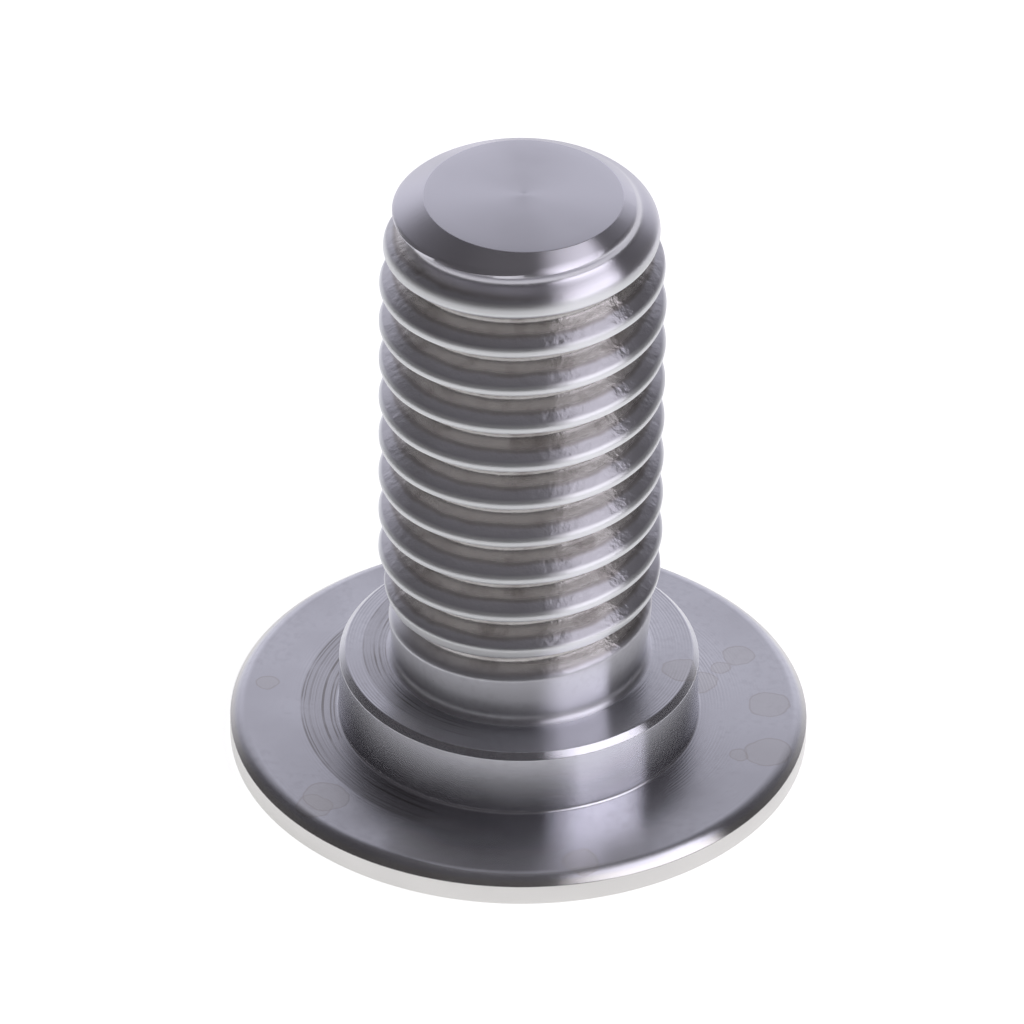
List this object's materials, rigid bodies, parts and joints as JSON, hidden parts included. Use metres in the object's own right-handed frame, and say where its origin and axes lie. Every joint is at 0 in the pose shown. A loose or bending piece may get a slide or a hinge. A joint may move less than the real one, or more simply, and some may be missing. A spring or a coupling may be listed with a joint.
{
  "type": "brake rotor bolt",
  "caption": "Turned steel bolt that holds a brake rotor to its hub: wide thin flange head, short locating shoulder, plain neck and a right-hand metric thread.",
  "frame": {"origin": "middle of the head's outer face, on which the bolt stands", "axes": "+Z along the shank from the head to the tip, -Y towards the camera of the picture, +X to its right"},
  "size_m": [0.016, 0.016, 0.018],
  "materials": {
    "turned_steel": "bare turned metal, satin, with fine lathe marks"
  },
  "bodies": {
    "root": {"rotor_bolt": "turned_steel"}
  },
  "joints": []
}
